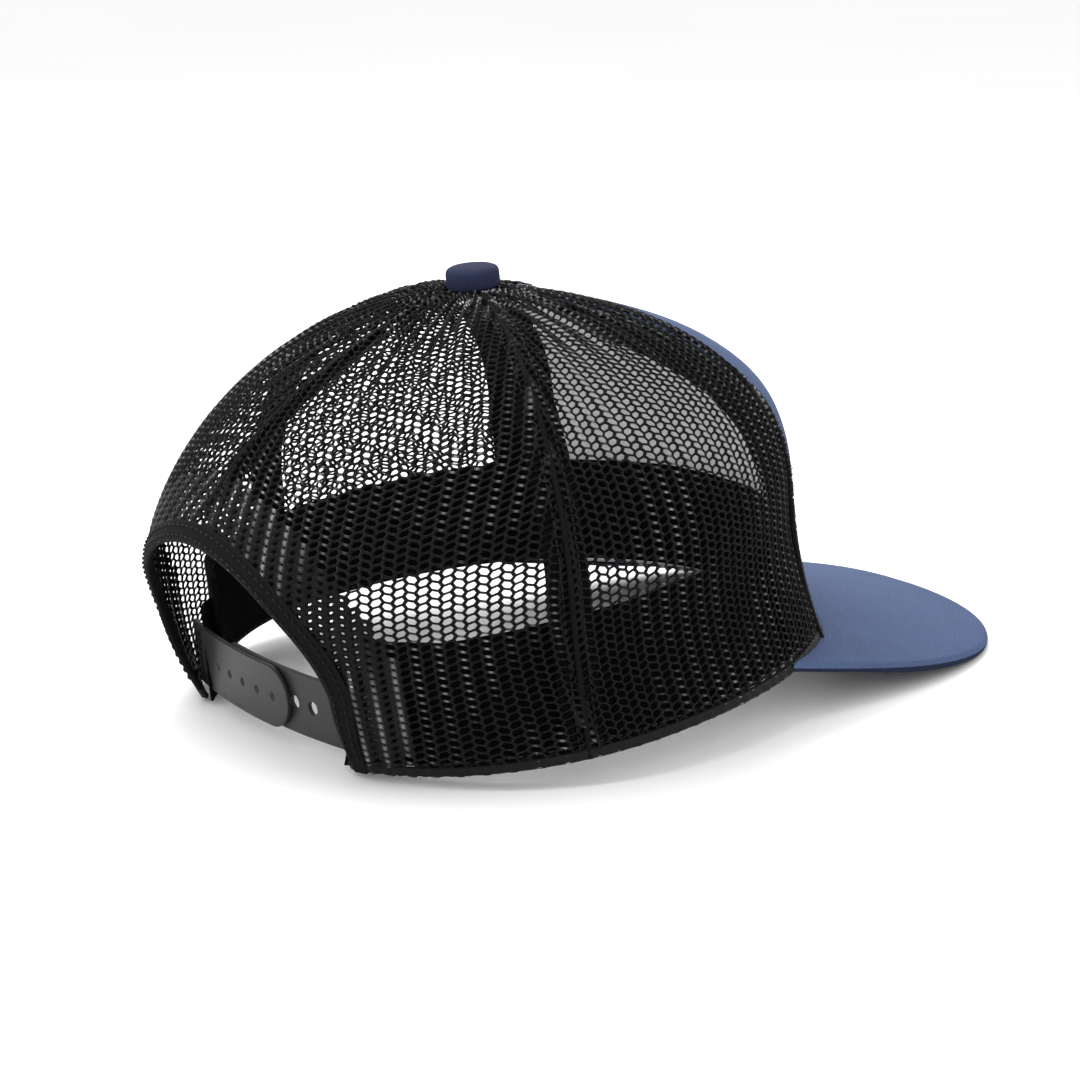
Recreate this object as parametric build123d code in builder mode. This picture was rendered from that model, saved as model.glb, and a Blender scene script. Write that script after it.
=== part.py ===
from build123d import *
import os
from math import atan2, cos, degrees, pi, radians, sin, sqrt

os.makedirs("parts", exist_ok=True)

# Trucker cap standing on a table, millimetres, +Z up.
# The visor points to -Y, the wearer's right is -X, the back opening faces +Y.
# The crown is drawn in its own cap frame, whose Z is the button's axis, and the cap frame is
# pitched about X, because the worn cap stands on its rear rim and on the visor.
# Crown angles are in degrees about the button's axis: 0 is the front, +90 the wearer's right.

PITCH = 5.07                # how far the front is lifted by the visor
PITCH_Y = 90.0              # where the pitched cap frame meets the table
TABLE_LIFT = -0.95          # brings the lowest point of the rim to the table
STAND_Y = 38.36             # centres the whole cap on the origin

HALF_WIDTH = 86.0           # crown at its widest level
FRONT_REACH = 106.0
BACK_REACH = 103.5
BUTTON_Y = -9.5
BELLY_Z = 47.5              # height of the widest level
CROWN_H = 122.0
FRONT_SQUARENESS = 2.14     # plan exponent of the front half, 2 is an ellipse
RIM_NARROWING = {"front": -0.07, "side": -0.11, "back": 0.215}
PROFILE_POWER = {"front": 3.5, "side": 2.1, "back": 1.7}
ROOF_FALL = {"front": 0.35, "back": 0.01}
ROOF_POWER = 1.06
RIM_WAVE = (1.1, -1.2)      # rim height, first and second harmonic around the crown

FRONT_SEAM = 42.4
SIDE_SEAM = 103.0
SEAM_GAP = 0.15             # between neighbouring panels
TOP_HOLE_R = 5.5            # the panels end under the button

COVER_T = 1.0
FOAM_T = 2.0
LINING_T = 0.5
MESH_T = 1.0
TAPE_T = 0.8
FRONT_TAPE_W = 22.0
SEAM_TAPE_W = 12.0
LAYER_GAP = 0.1

BAND_H = 38.0
BAND_T = 1.6
BAND_INSET = 6.2
BAND_LINER_T = 0.6

ARCH_HALF_W = 47.0
ARCH_MID_Z = 26.0
ARCH_RISE = 40.0
ARCH_FOOT_HALF_W = 43.0
BINDING_W = 5.0

VISOR_HALF_W = 82.0
VISOR_ROOT_Y = -66.5        # where the visor is widest
VISOR_REACH = 113.0
VISOR_SQUARENESS = 2.93
VISOR_ROOT_Z = 15.7
VISOR_SLOPE = 0.286
VISOR_CURVE = 11.5          # how far the visor's sides hang below its middle
VISOR_COVER_T = 0.7
VISOR_BOARD_T = 2.2
BOARD_EDGE = 1.5            # the board stops this far inside the covers' seam

BUTTON_R = 8.2
BUTTON_H = 5.6
BUTTON_SEAT_Z = CROWN_H + 0.1
BUTTON_SKIN = 0.7

STRAP_H = 19.5
STRAP_T = 1.4
STRAP_FOOT_Z = 4.5
STRAP_R = 225.0
STRAP_BACK_Y = 77.6         # outer face of the outer strap at the middle of the back
STRAP_GAP = 0.5
HINGE_X = 40.0
HINGE_SLIT = 1.6
ROOT_X = 53.0
PEG_TIP_X = -12.0           # rounded end of the peg strap
HOLE_TIP_X = 31.0           # rounded end of the hole strap
PEG_PITCH = 9.0
PEG_COUNT = 5
PEG_R = 1.5
PEG_L = 3.4
PEG_SEAT = 0.03             # between a peg's flat root and the strap's curved inner face
HOLE_R = 2.1
HOLE_COUNT = 7

LABEL_W = 46.0
LABEL_T = 0.5

CAP = Plane(origin=(0, PITCH_Y + STAND_Y, TABLE_LIFT), x_dir=(1, 0, 0),
            z_dir=(0, sin(radians(PITCH)), cos(radians(PITCH))))


def tilt(x, y, z):
    """A point of the cap frame, in the table's frame."""
    return CAP.from_local_coords(Vector(x, y - PITCH_Y, z))


def around(angle, front, side, back):
    """Blend a front, side and back value smoothly around the crown."""
    c = cos(radians(angle))
    return side + ((front if c > 0 else back) - side) * c * c


def signed_power(value, power):
    return (1 if value >= 0 else -1) * abs(value) ** power


def rim_height(angle):
    first, second = RIM_WAVE
    return first * cos(radians(angle)) + second * cos(2 * radians(angle)) + first - second


def belly_point(angle):
    """Plan position of the crown's widest level, seen from the button's axis."""
    s = sin(radians(angle))
    c = cos(radians(angle))
    power = 2 / (FRONT_SQUARENESS if c > 0 else 2.0)
    reach = FRONT_REACH if c > 0 else BACK_REACH
    return -HALF_WIDTH * signed_power(s, power), -reach * signed_power(c, power) - BUTTON_Y


def profile(angle, climb):
    """Radius factor and height at climb 0 (rim), 1 (widest level) to 2 (button)."""
    if climb <= 1:
        foot = rim_height(angle)
        z = foot + (BELLY_Z - foot) * climb
        narrowing = around(angle, **RIM_NARROWING)
        return 1 - narrowing * ((BELLY_Z - z) / BELLY_Z) ** 2, z
    turn = (climb - 1) * pi / 2
    power = around(angle, **PROFILE_POWER)
    scale = (cos(turn) ** power + sin(turn) ** power) ** (-1 / power)
    radius = cos(turn) * scale
    fall = ROOF_FALL["back"] + (ROOF_FALL["front"] - ROOF_FALL["back"]) * max(cos(radians(angle)), 0)
    roof = sin(turn) * scale * (1 - fall * radius ** ROOF_POWER)
    return radius, BELLY_Z + (CROWN_H - BELLY_Z) * roof


def bare_point(angle, climb):
    bx, by = belly_point(angle)
    factor, z = profile(angle, climb)
    return Vector(bx * factor, BUTTON_Y + by * factor, z)


def crown_point(angle, climb, inset=0.0):
    """Point at a depth below the crown's outer surface, in the table's frame."""
    step = 0.01
    along = bare_point(angle + 1, climb) - bare_point(angle - 1, climb)
    up = bare_point(angle, min(climb + step, 1.999)) - bare_point(angle, max(climb - step, 0))
    inward = along.cross(up).normalized()
    p = bare_point(angle, climb) + inward * inset
    return tilt(p.X, p.Y, p.Z)


def top_climb(angle):
    """Climb at which the crown's radius has shrunk to the hole under the button."""
    bx, by = belly_point(angle)
    low, high = 1.5, 1.99
    for _ in range(20):
        middle = (low + high) / 2
        if profile(angle, middle)[0] * sqrt(bx * bx + by * by) > TOP_HOLE_R:
            low = middle
        else:
            high = middle
    return low


def radius_at(angle, climb):
    bx, by = belly_point(angle)
    return profile(angle, climb)[0] * sqrt(bx * bx + by * by)


def beside(seam, distance):
    """Edge of a strip that runs beside a seam at a distance, narrower near the button."""
    def edge(climb):
        radius = radius_at(seam, climb)
        width = min(abs(distance), 0.42 * radius)
        return seam + degrees(width / radius) * (1 if distance > 0 else -1)
    return edge


def smooth_face(grid):
    return Face.make_surface_from_array_of_points(grid, tol=0.02)


def slab(outer_grid, inner_grid):
    """Solid between two smooth skins whose edges are joined by straight walls."""
    outer = smooth_face(outer_grid)
    inner = smooth_face(inner_grid)
    walls = [Face.make_surface_from_curves(a, b) for a, b in zip(outer.edges(), inner.edges())]
    return Solid(Shell([outer, inner, *walls]))


def crown_grid(edge_a, edge_b, depth, climb_a, climb_b, across, rows):
    """Points between two edges of the crown, each edge an angle as a function of climb."""
    last = climb_b if climb_b else top_climb((edge_a(1.0) + edge_b(1.0)) / 2)
    grid = []
    for row in range(rows):
        climb = climb_a + (last - climb_a) * row / (rows - 1)
        a = edge_a(climb)
        b = edge_b(climb)
        angles = [a + (b - a) * i / (across - 1) for i in range(across)]
        grid.append([crown_point(angle, climb, depth) for angle in angles])
    return grid


def crown_layer(edge_a, edge_b, depth, thickness, climb_a=0.0, climb_b=None, across=9, rows=17):
    """One layer of the crown's wall, from a depth below the outer surface inwards."""
    shape = (climb_a, climb_b, across, rows)
    return slab(crown_grid(edge_a, edge_b, depth, *shape),
                crown_grid(edge_a, edge_b, depth + thickness, *shape))


def finish(part, name):
    part.label = name
    export_step(part, f"parts/{name}.step")


def sewn_piece(name, solid, arch=False):
    with BuildPart() as piece:
        add(solid)
        if arch:
            with BuildSketch(ARCH_PLANE):
                arch_outline()
            extrude(amount=ARCH_DEPTH, mode=Mode.SUBTRACT)
    finish(piece.part, name)


# The back opening: an ellipse above a slightly narrower foot, cut along the cap frame's Y.
ARCH_DEPTH = 90.0
ARCH_FROM_Y = 25.0
ARCH_CUT_Z = -20.0
ARCH_PLANE = Plane(origin=tilt(0, ARCH_FROM_Y, 0), x_dir=(-1, 0, 0), z_dir=tilt(0, 1, 0) - tilt(0, 0, 0))


def arch_outline(grow=0.0):
    with Locations((0, ARCH_MID_Z)):
        Ellipse(ARCH_HALF_W + grow, ARCH_RISE + grow)
    with BuildLine() as foot:
        Polyline((-ARCH_FOOT_HALF_W - grow, ARCH_CUT_Z), (ARCH_FOOT_HALF_W + grow, ARCH_CUT_Z),
                 (ARCH_HALF_W + grow, ARCH_MID_Z), (-ARCH_HALF_W - grow, ARCH_MID_Z), close=True)
    make_face(foot.edges())


# ---- crown: front panel in three layers, four mesh panels
def constant(angle):
    return lambda climb: angle


front_edges = (beside(-FRONT_SEAM, SEAM_GAP), beside(FRONT_SEAM, -SEAM_GAP))
foam_depth = COVER_T + LAYER_GAP
lining_depth = foam_depth + FOAM_T + LAYER_GAP
sewn_piece("front_panel_cover", crown_layer(*front_edges, 0, COVER_T, across=15))
sewn_piece("front_panel_foam", crown_layer(*front_edges, foam_depth, FOAM_T, across=15))
sewn_piece("front_panel_lining", crown_layer(*front_edges, lining_depth, LINING_T, across=15))

for side, sign in (("right", 1), ("left", -1)):
    side_panel = crown_layer(beside(sign * FRONT_SEAM, sign * SEAM_GAP),
                             beside(sign * SIDE_SEAM, -sign * SEAM_GAP), 0, MESH_T)
    sewn_piece(f"side_mesh_{side}", side_panel)
    back_panel = crown_layer(beside(sign * SIDE_SEAM, sign * SEAM_GAP),
                             beside(sign * 180, -sign * SEAM_GAP), 0, MESH_T)
    sewn_piece(f"back_mesh_{side}", back_panel, arch=True)

# ---- seam tapes inside the mesh
TAPE_DEPTH = MESH_T + 0.3
TAPE_TOP = 1.80
BACK_TAPE_FOOT = 1.28
TAPE_CLEARANCE = 1.0
for side, sign in (("right", 1), ("left", -1)):
    front_tape = crown_layer(beside(sign * FRONT_SEAM, sign * TAPE_CLEARANCE),
                             beside(sign * FRONT_SEAM, sign * FRONT_TAPE_W),
                             TAPE_DEPTH, TAPE_T, climb_b=TAPE_TOP, across=5)
    sewn_piece(f"front_seam_tape_{side}", front_tape)
    side_tape = crown_layer(beside(sign * SIDE_SEAM, -SEAM_TAPE_W / 2),
                            beside(sign * SIDE_SEAM, SEAM_TAPE_W / 2),
                            TAPE_DEPTH, TAPE_T, climb_b=TAPE_TOP, across=5)
    sewn_piece(f"side_seam_tape_{side}", side_tape)
back_tape = crown_layer(beside(180, -SEAM_TAPE_W / 2), beside(180, SEAM_TAPE_W / 2),
                        TAPE_DEPTH, TAPE_T, climb_a=BACK_TAPE_FOOT, climb_b=TAPE_TOP, across=5)
sewn_piece("back_seam_tape", back_tape)

# ---- binding folded over the edge of the back opening
BINDING_T = 0.45
BINDING_SPAN = 55           # degrees each side of the middle of the back
BINDING_TOP = 1.6
with BuildPart() as arch_binding:
    add(crown_layer(constant(180 - BINDING_SPAN), constant(180 + BINDING_SPAN), -BINDING_T - LAYER_GAP,
                    BINDING_T, climb_b=BINDING_TOP, across=21))
    with BuildSketch(ARCH_PLANE):
        arch_outline(grow=BINDING_W)
    extrude(amount=ARCH_DEPTH, mode=Mode.INTERSECT)
    with BuildSketch(ARCH_PLANE):
        arch_outline()
    extrude(amount=ARCH_DEPTH, mode=Mode.SUBTRACT)
finish(arch_binding.part, "arch_binding")


# ---- sweatband: a tall strip standing inside the rim, open across the back
def band_point(angle, height, depth):
    bx, by = belly_point(angle)
    reach = sqrt(bx * bx + by * by)
    narrowing = around(angle, **RIM_NARROWING)
    lean = (1 - height / BELLY_Z) ** 2 if narrowing < 0 else 1
    factor = 1 - narrowing * lean - depth / reach
    return tilt(bx * factor, BUTTON_Y + by * factor, rim_height(angle) + height)


def band_grid(depth, low, high, end_angle):
    grid = []
    for row in range(5):
        height = low + (high - low) * row / 4
        angles = [end_angle * (i / 20 - 1) for i in range(41)]
        grid.append([band_point(angle, height, depth) for angle in angles])
    return grid


def band_layer(depth, thickness, low, high, end_angle):
    return slab(band_grid(depth, low, high, end_angle), band_grid(depth + thickness, low, high, end_angle))


BAND_END = 145.0
BAND_FOOT = 0.4
LINER_EDGE = 2.0            # the liner stops short of the band's edges
LINER_SIDE = 3.0            # and this many degrees short of the front seams
LINER_GAP = 0.5
liner_depth = BAND_INSET - LINER_GAP - BAND_LINER_T
sewn_piece("sweatband", band_layer(BAND_INSET, BAND_T, BAND_FOOT, BAND_H, BAND_END))
sewn_piece("sweatband_liner", band_layer(liner_depth, BAND_LINER_T, LINER_EDGE, BAND_H - LINER_EDGE,
                                         FRONT_SEAM - LINER_SIDE))


# ---- visor: board between two covers, curved across and sloping forward
SHEET_BACK_Y = -40.0        # the visor's curved sheets run past its outline on every side
SHEET_DEPTH = 150.0
SHEET_MARGIN = 6.0
CUT_FROM_Z = -40.0
CUT_DEPTH = 100.0


def visor_grid(drop):
    grid = []
    for row in range(9):
        y = SHEET_BACK_Y - SHEET_DEPTH * row / 8
        xs = [(i / 8 - 1) * (VISOR_HALF_W + SHEET_MARGIN) for i in range(17)]
        grid.append([tilt(x, y, visor_top(x, y) - drop) for x in xs])
    return grid


def visor_top(x, y):
    return VISOR_ROOT_Z - VISOR_SLOPE * (VISOR_ROOT_Y - y) - VISOR_CURVE * (x / VISOR_HALF_W) ** 2


def visor_outline(shrink):
    points = []
    back_y = SHEET_BACK_Y / 2 - PITCH_Y
    for i in range(25):
        t = radians(-90 + 180 * i / 24)
        x = (VISOR_HALF_W - shrink) * signed_power(sin(t), 2 / VISOR_SQUARENESS)
        y = VISOR_ROOT_Y - (VISOR_REACH - shrink) * abs(cos(t)) ** (2 / VISOR_SQUARENESS)
        points.append((x, y - PITCH_Y))
    with BuildLine() as outline:
        Spline(*points)
        Polyline(points[-1], (points[-1][0], back_y), (points[0][0], back_y), points[0])
    make_face(outline.edges())


def rim_outline(grow):
    points = []
    for angle in range(0, 360, 10):
        bx, by = belly_point(angle)
        factor = profile(angle, 0)[0] + grow / sqrt(bx * bx + by * by)
        points.append((bx * factor, BUTTON_Y + by * factor - PITCH_Y))
    with BuildLine() as outline:
        Spline(*points, periodic=True)
    make_face(outline.edges())


def visor_layer(name, drop, thickness, shrink):
    with BuildPart() as layer:
        add(slab(visor_grid(drop), visor_grid(drop + thickness)))
        with BuildSketch(CAP.offset(CUT_FROM_Z)):
            visor_outline(shrink)
        extrude(amount=CUT_DEPTH, mode=Mode.INTERSECT)
        with BuildSketch(CAP.offset(CUT_FROM_Z)):
            rim_outline(LAYER_GAP)
        extrude(amount=CUT_DEPTH, mode=Mode.SUBTRACT)
    finish(layer.part, name)


visor_layer("visor_top_cover", 0, VISOR_COVER_T, 0)
visor_layer("visor_board", VISOR_COVER_T + LAYER_GAP / 2, VISOR_BOARD_T, BOARD_EDGE)
visor_layer("visor_under_cover", VISOR_COVER_T + VISOR_BOARD_T + LAYER_GAP, VISOR_COVER_T, 0)

# ---- button on top: covered cap, metal shell with a post, washer inside the crown
BUTTON_PLANE = Plane(origin=tilt(0, BUTTON_Y, BUTTON_SEAT_Z), x_dir=(1, 0, 0), z_dir=CAP.y_dir * -1)


BUTTON_AXIS = Axis(BUTTON_PLANE.origin, CAP.z_dir)
BUTTON_SPOT = (0, BUTTON_Y - PITCH_Y)
COVER_BULGE = 1.0
SHELL_BULGE = 0.9
SHELL_T = 0.9
SHELL_HOLLOW_H = 3.0
SHOULDER = 0.6              # share of the side that stands straight
SHOULDER_R = 0.86


def dome(radius, height, crown_bulge):
    """Half profile of a low dome on the button's axis."""
    side = height - crown_bulge
    with BuildLine() as outline:
        Polyline((0, height), (0, 0), (radius, 0), (radius, side * SHOULDER))
        Spline((radius, side * SHOULDER), (radius * SHOULDER_R, side), (0, height), tangents=((0, 1), (-1, 0)))
    make_face(outline.edges())


with BuildPart() as button_cover:
    with BuildSketch(BUTTON_PLANE):
        dome(BUTTON_R, BUTTON_H, COVER_BULGE)
    revolve(axis=BUTTON_AXIS)
    with BuildSketch(BUTTON_PLANE):
        dome(BUTTON_R - BUTTON_SKIN, BUTTON_H - BUTTON_SKIN, SHELL_BULGE)
    revolve(axis=BUTTON_AXIS, mode=Mode.SUBTRACT)
finish(button_cover.part, "button_cover")

POST_R = 1.6
POST_L = 7.6
POST_ROOT = 0.5             # how far the post runs into the shell's top
with BuildPart() as button_shell:
    with BuildSketch(BUTTON_PLANE):
        dome(BUTTON_R - BUTTON_SKIN - LAYER_GAP, BUTTON_H - BUTTON_SKIN - LAYER_GAP, SHELL_BULGE)
    revolve(axis=BUTTON_AXIS)
    with BuildSketch(CAP):
        with Locations(BUTTON_SPOT):
            Circle(BUTTON_R - BUTTON_SKIN - SHELL_T)
    extrude(amount=BUTTON_SEAT_Z + SHELL_HOLLOW_H, mode=Mode.SUBTRACT)
    with BuildSketch(CAP.offset(BUTTON_SEAT_Z - POST_L)):
        with Locations(BUTTON_SPOT):
            Circle(POST_R)
    extrude(amount=POST_L + SHELL_HOLLOW_H + POST_ROOT)
finish(button_shell.part, "button_shell")

WASHER_R = 7.0
WASHER_T = 0.8
WASHER_DROP = 7.2           # below the button's seat
WASHER_FIT = 0.05
with BuildPart() as button_washer:
    with BuildSketch(CAP.offset(BUTTON_SEAT_Z - WASHER_DROP)):
        with Locations(BUTTON_SPOT):
            Circle(WASHER_R)
            Circle(POST_R + WASHER_FIT, mode=Mode.SUBTRACT)
    extrude(amount=WASHER_T)
finish(button_washer.part, "button_washer")

# ---- woven size label sewn inside the top of the front panel
LABEL_CLIMB = (1.56, 1.66)
LABEL_WIDE_AT = 1.35
label_edge = degrees(LABEL_W / 2 / radius_at(0, LABEL_WIDE_AT))
label = crown_layer(constant(-label_edge), constant(label_edge), lining_depth + LINING_T + LAYER_GAP, LABEL_T,
                    climb_a=LABEL_CLIMB[0], climb_b=LABEL_CLIMB[1], across=7, rows=5)
sewn_piece("inner_label", label)

# ---- snap closure: a peg strap from the wearer's left over a hole strap from the right
STRAP_CENTRE_Y = STRAP_BACK_Y - STRAP_R
TIP_CUT_L = 120.0           # longer than a strap


def strap_band(radius_out, x_from, x_to, tip_sign=0):
    """Curved strap between two x positions, its free end rounded in elevation."""
    radius_in = radius_out - STRAP_T
    turn_a = degrees(atan2(x_from, STRAP_R))
    turn_b = degrees(atan2(x_to, STRAP_R))
    with BuildSketch(CAP.offset(STRAP_FOOT_Z)) as plan:
        with BuildLine() as outline:
            centre = (0, STRAP_CENTRE_Y - PITCH_Y)
            outer = CenterArc(centre, radius_out, 90 - turn_a, turn_a - turn_b)
            inner = CenterArc(centre, radius_in, 90 - turn_a, turn_a - turn_b)
            Line(outer @ 0, inner @ 0)
            Line(outer @ 1, inner @ 1)
        make_face(outline.edges())
    extrude(plan.sketch, amount=STRAP_H)
    if tip_sign:
        tip_x = x_to if tip_sign * (x_to - x_from) > 0 else x_from
        tip_centre = tip_x - tip_sign * STRAP_H / 2
        with BuildSketch(ARCH_PLANE) as elevation:
            with Locations((-tip_centre, STRAP_FOOT_Z + STRAP_H / 2)):
                Circle(STRAP_H / 2)
            with Locations((tip_sign * TIP_CUT_L / 2 - tip_centre, STRAP_FOOT_Z + STRAP_H / 2)):
                Rectangle(TIP_CUT_L, STRAP_H)
        extrude(elevation.sketch, amount=ARCH_DEPTH, mode=Mode.INTERSECT)


def strap_plane(x, radius):
    """Plane on a strap at x, its Z pointing out of the cap."""
    turn = atan2(x, STRAP_R)
    out = tilt(sin(turn), cos(turn), 0) - tilt(0, 0, 0)
    spot = tilt(radius * sin(turn), STRAP_CENTRE_Y + radius * cos(turn), STRAP_FOOT_Z + STRAP_H / 2)
    return Plane(origin=spot, x_dir=CAP.z_dir, z_dir=out)


PEG_FROM_TIP = 8.0
DIMPLE_R = 1.1
DIMPLE_DEPTH = 0.45
PEG_XS = [PEG_TIP_X + PEG_FROM_TIP + PEG_PITCH * i for i in range(PEG_COUNT)]
HOLE_XS = [PEG_XS[-1] - PEG_PITCH * i for i in range(HOLE_COUNT)]
HOLE_STRAP_R = STRAP_R - STRAP_T - STRAP_GAP
half_slit = HINGE_SLIT / 2

with BuildPart() as peg_strap:
    strap_band(STRAP_R, PEG_TIP_X, HINGE_X - half_slit, tip_sign=-1)
    for x in PEG_XS:
        with BuildSketch(strap_plane(x, STRAP_R - DIMPLE_DEPTH)):
            Circle(DIMPLE_R)
        extrude(amount=STRAP_T, mode=Mode.SUBTRACT)
finish(peg_strap.part, "peg_strap")

with BuildPart() as strap_pegs:
    for x in PEG_XS:
        with BuildSketch(strap_plane(x, STRAP_R - STRAP_T - PEG_L)):
            Circle(PEG_R)
        extrude(amount=PEG_L - PEG_SEAT)
finish(strap_pegs.part, "strap_pegs")

with BuildPart() as hole_strap:
    strap_band(HOLE_STRAP_R, -HINGE_X + half_slit, HOLE_TIP_X, tip_sign=1)
    for x in HOLE_XS:
        with BuildSketch(strap_plane(x, HOLE_STRAP_R - 2 * STRAP_T)):
            Circle(HOLE_R)
        extrude(amount=4 * STRAP_T, mode=Mode.SUBTRACT)
finish(hole_strap.part, "hole_strap")

with BuildPart() as peg_strap_root:
    strap_band(STRAP_R, HINGE_X + half_slit, ROOT_X)
finish(peg_strap_root.part, "peg_strap_root")

with BuildPart() as hole_strap_root:
    strap_band(HOLE_STRAP_R, -ROOT_X, -HINGE_X - half_slit)
finish(hole_strap_root.part, "hole_strap_root")
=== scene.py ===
import random
from math import cos, pi, radians, sin

import bmesh
import bpy
import numpy as np
from mathutils import Matrix, Vector


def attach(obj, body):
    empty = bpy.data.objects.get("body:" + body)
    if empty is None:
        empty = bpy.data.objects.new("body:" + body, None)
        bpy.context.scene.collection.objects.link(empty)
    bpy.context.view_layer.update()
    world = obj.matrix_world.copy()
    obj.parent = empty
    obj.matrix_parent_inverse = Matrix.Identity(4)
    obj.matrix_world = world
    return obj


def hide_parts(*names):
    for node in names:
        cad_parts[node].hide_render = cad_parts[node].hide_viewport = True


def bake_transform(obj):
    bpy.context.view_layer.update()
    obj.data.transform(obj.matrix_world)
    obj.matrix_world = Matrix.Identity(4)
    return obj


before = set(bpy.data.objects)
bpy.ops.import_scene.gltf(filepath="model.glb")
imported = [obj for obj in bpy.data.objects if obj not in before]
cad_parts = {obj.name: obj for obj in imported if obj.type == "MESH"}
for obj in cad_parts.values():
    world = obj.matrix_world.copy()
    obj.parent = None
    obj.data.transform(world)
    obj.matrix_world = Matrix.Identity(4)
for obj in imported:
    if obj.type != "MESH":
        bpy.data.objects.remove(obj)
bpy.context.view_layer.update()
random.seed(7)

# Trucker cap, metres, in the CAD frame: visor towards -Y, the wearer's right is -X, the back is +Y.
# The crown is the CAD's own formula, in a cap frame that is pitched about X.
PITCH = radians(5.07)
PITCH_Y = 0.090
STAND_Y = 0.03836
TABLE_LIFT = -0.00095

HALF_WIDTH = 0.086
FRONT_REACH = 0.106
BACK_REACH = 0.1035
BUTTON_Y = -0.0095
BELLY_Z = 0.0475
CROWN_H = 0.122
FRONT_SQUARENESS = 2.14
RIM_NARROWING = {"front": -0.07, "side": -0.11, "back": 0.215}
PROFILE_POWER = {"front": 3.5, "side": 2.1, "back": 1.7}
ROOF_FALL = {"front": 0.35, "back": 0.01}
ROOF_POWER = 1.06
RIM_WAVE = (0.0011, -0.0012)

FRONT_SEAM = radians(42.4)
SIDE_SEAM = radians(103.0)
BACK = pi
TOP_CLIMB = 1.955  # the panels end under the button

COVER_T = 0.001
FOAM_T = 0.002
LINING_T = 0.0005
FRONT_TAPE_W = 0.022
SEAM_TAPE_W = 0.012
TAPE_DEPTH = 0.0013
TAPE_T = 0.0008

BAND_H = 0.038
BAND_T = 0.0016
BAND_INSET = 0.0062
BAND_END = radians(145.0)

ARCH_HALF_W = 0.047
ARCH_MID_Z = 0.026
ARCH_RISE = 0.040
ARCH_FOOT_HALF_W = 0.043
BINDING_W = 0.005

VISOR_HALF_W = 0.082
VISOR_ROOT_Y = -0.0665
VISOR_REACH = 0.113
VISOR_SQUARENESS = 2.93
VISOR_ROOT_Z = 0.0157
VISOR_SLOPE = 0.286
VISOR_CURVE = 0.0115
VISOR_T = 0.0037
VISOR_CLOTH_T = 0.0007

STRAP_H = 0.0195
STRAP_T = 0.0014
STRAP_FOOT_Z = 0.0045
STRAP_R = 0.225
STRAP_BACK_Y = 0.0776
STRAP_GAP = 0.0005
STRAP_ROOT_X = 0.053
PEG_TIP_X = -0.012
HOLE_TIP_X = 0.031
PEG_PITCH = 0.009
PEG_FROM_TIP = 0.008
PEG_XS = [PEG_TIP_X + PEG_FROM_TIP + PEG_PITCH * i for i in range(5)]
# the hole for the last peg would lie at the strap's tip and is left out
HOLE_XS = [PEG_XS[-1] - PEG_PITCH * i for i in range(1, 7)]

WALE = 0.0032  # between neighbouring hole columns of the net
COURSE = 0.0024  # between the holes of a column


# ---- the crown's surface
def unit(rows):
    return rows / np.linalg.norm(rows, axis=-1, keepdims=True)


def step_lengths(points):
    return np.linalg.norm(np.diff(points, axis=0), axis=1)


def lengths_along(points):
    return np.concatenate([[0], np.cumsum(step_lengths(points))])


def tilt(points):
    """Points of the cap frame, as rows of x, y, z, in the table's frame."""
    x, y, z = points[..., 0], points[..., 1] - PITCH_Y, points[..., 2]
    return np.stack([x, PITCH_Y + STAND_Y + y * cos(PITCH) + z * sin(PITCH),
                     TABLE_LIFT - y * sin(PITCH) + z * cos(PITCH)], -1)


def around(angle, front, side, back):
    c = np.cos(angle)
    return side + (np.where(c > 0, front, back) - side) * c * c


def signed_power(value, power):
    return np.sign(value) * np.abs(value) ** power


def rim_height(angle):
    first, second = RIM_WAVE
    return first * np.cos(angle) + second * np.cos(2 * angle) + first - second


def belly(angle):
    c = np.cos(angle)
    power = 2 / np.where(c > 0, FRONT_SQUARENESS, 2.0)
    reach = np.where(c > 0, FRONT_REACH, BACK_REACH)
    return -HALF_WIDTH * signed_power(np.sin(angle), power), -reach * signed_power(c, power) - BUTTON_Y


def bare(angle, climb):
    """Cap-frame points at an angle and at climb 0 (rim), 1 (widest level) to 2 (button)."""
    angle, climb = np.broadcast_arrays(np.asarray(angle, float), np.asarray(climb, float))
    foot = rim_height(angle)
    low_z = foot + (BELLY_Z - foot) * np.minimum(climb, 1)
    low = 1 - around(angle, **RIM_NARROWING) * ((BELLY_Z - low_z) / BELLY_Z) ** 2
    turn = np.clip(climb - 1, 0, 1) * pi / 2
    power = around(angle, **PROFILE_POWER)
    scale = (np.cos(turn) ** power + np.sin(turn) ** power) ** (-1 / power)
    high = np.cos(turn) * scale
    fall = ROOF_FALL["back"] + (ROOF_FALL["front"] - ROOF_FALL["back"]) * np.maximum(np.cos(angle), 0)
    roof = np.sin(turn) * scale * (1 - fall * high ** ROOF_POWER)
    z = np.where(climb <= 1, low_z, BELLY_Z + (CROWN_H - BELLY_Z) * roof)
    factor = np.where(climb <= 1, low, high)
    bx, by = belly(angle)
    return np.stack([bx * factor, BUTTON_Y + by * factor, z], -1)


def bare_at_depth(angle, climb, depth):
    step = 0.002
    along = bare(angle + step, climb) - bare(angle - step, climb)
    up = bare(angle, np.minimum(climb + step, 1.998)) - bare(angle, np.maximum(climb - step, 0))
    return bare(angle, climb) + unit(np.cross(along, up)) * np.asarray(depth)[..., None]


def crown(angle, climb, depth):
    """Points at a depth below the crown's outer surface, in the table's frame."""
    angle, climb, depth = np.broadcast_arrays(angle, climb, depth)
    return tilt(bare_at_depth(angle, climb, depth))


def reach_at(angle, climb):
    p = bare(angle, climb)
    return np.hypot(p[..., 0], p[..., 1] - BUTTON_Y)


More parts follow.
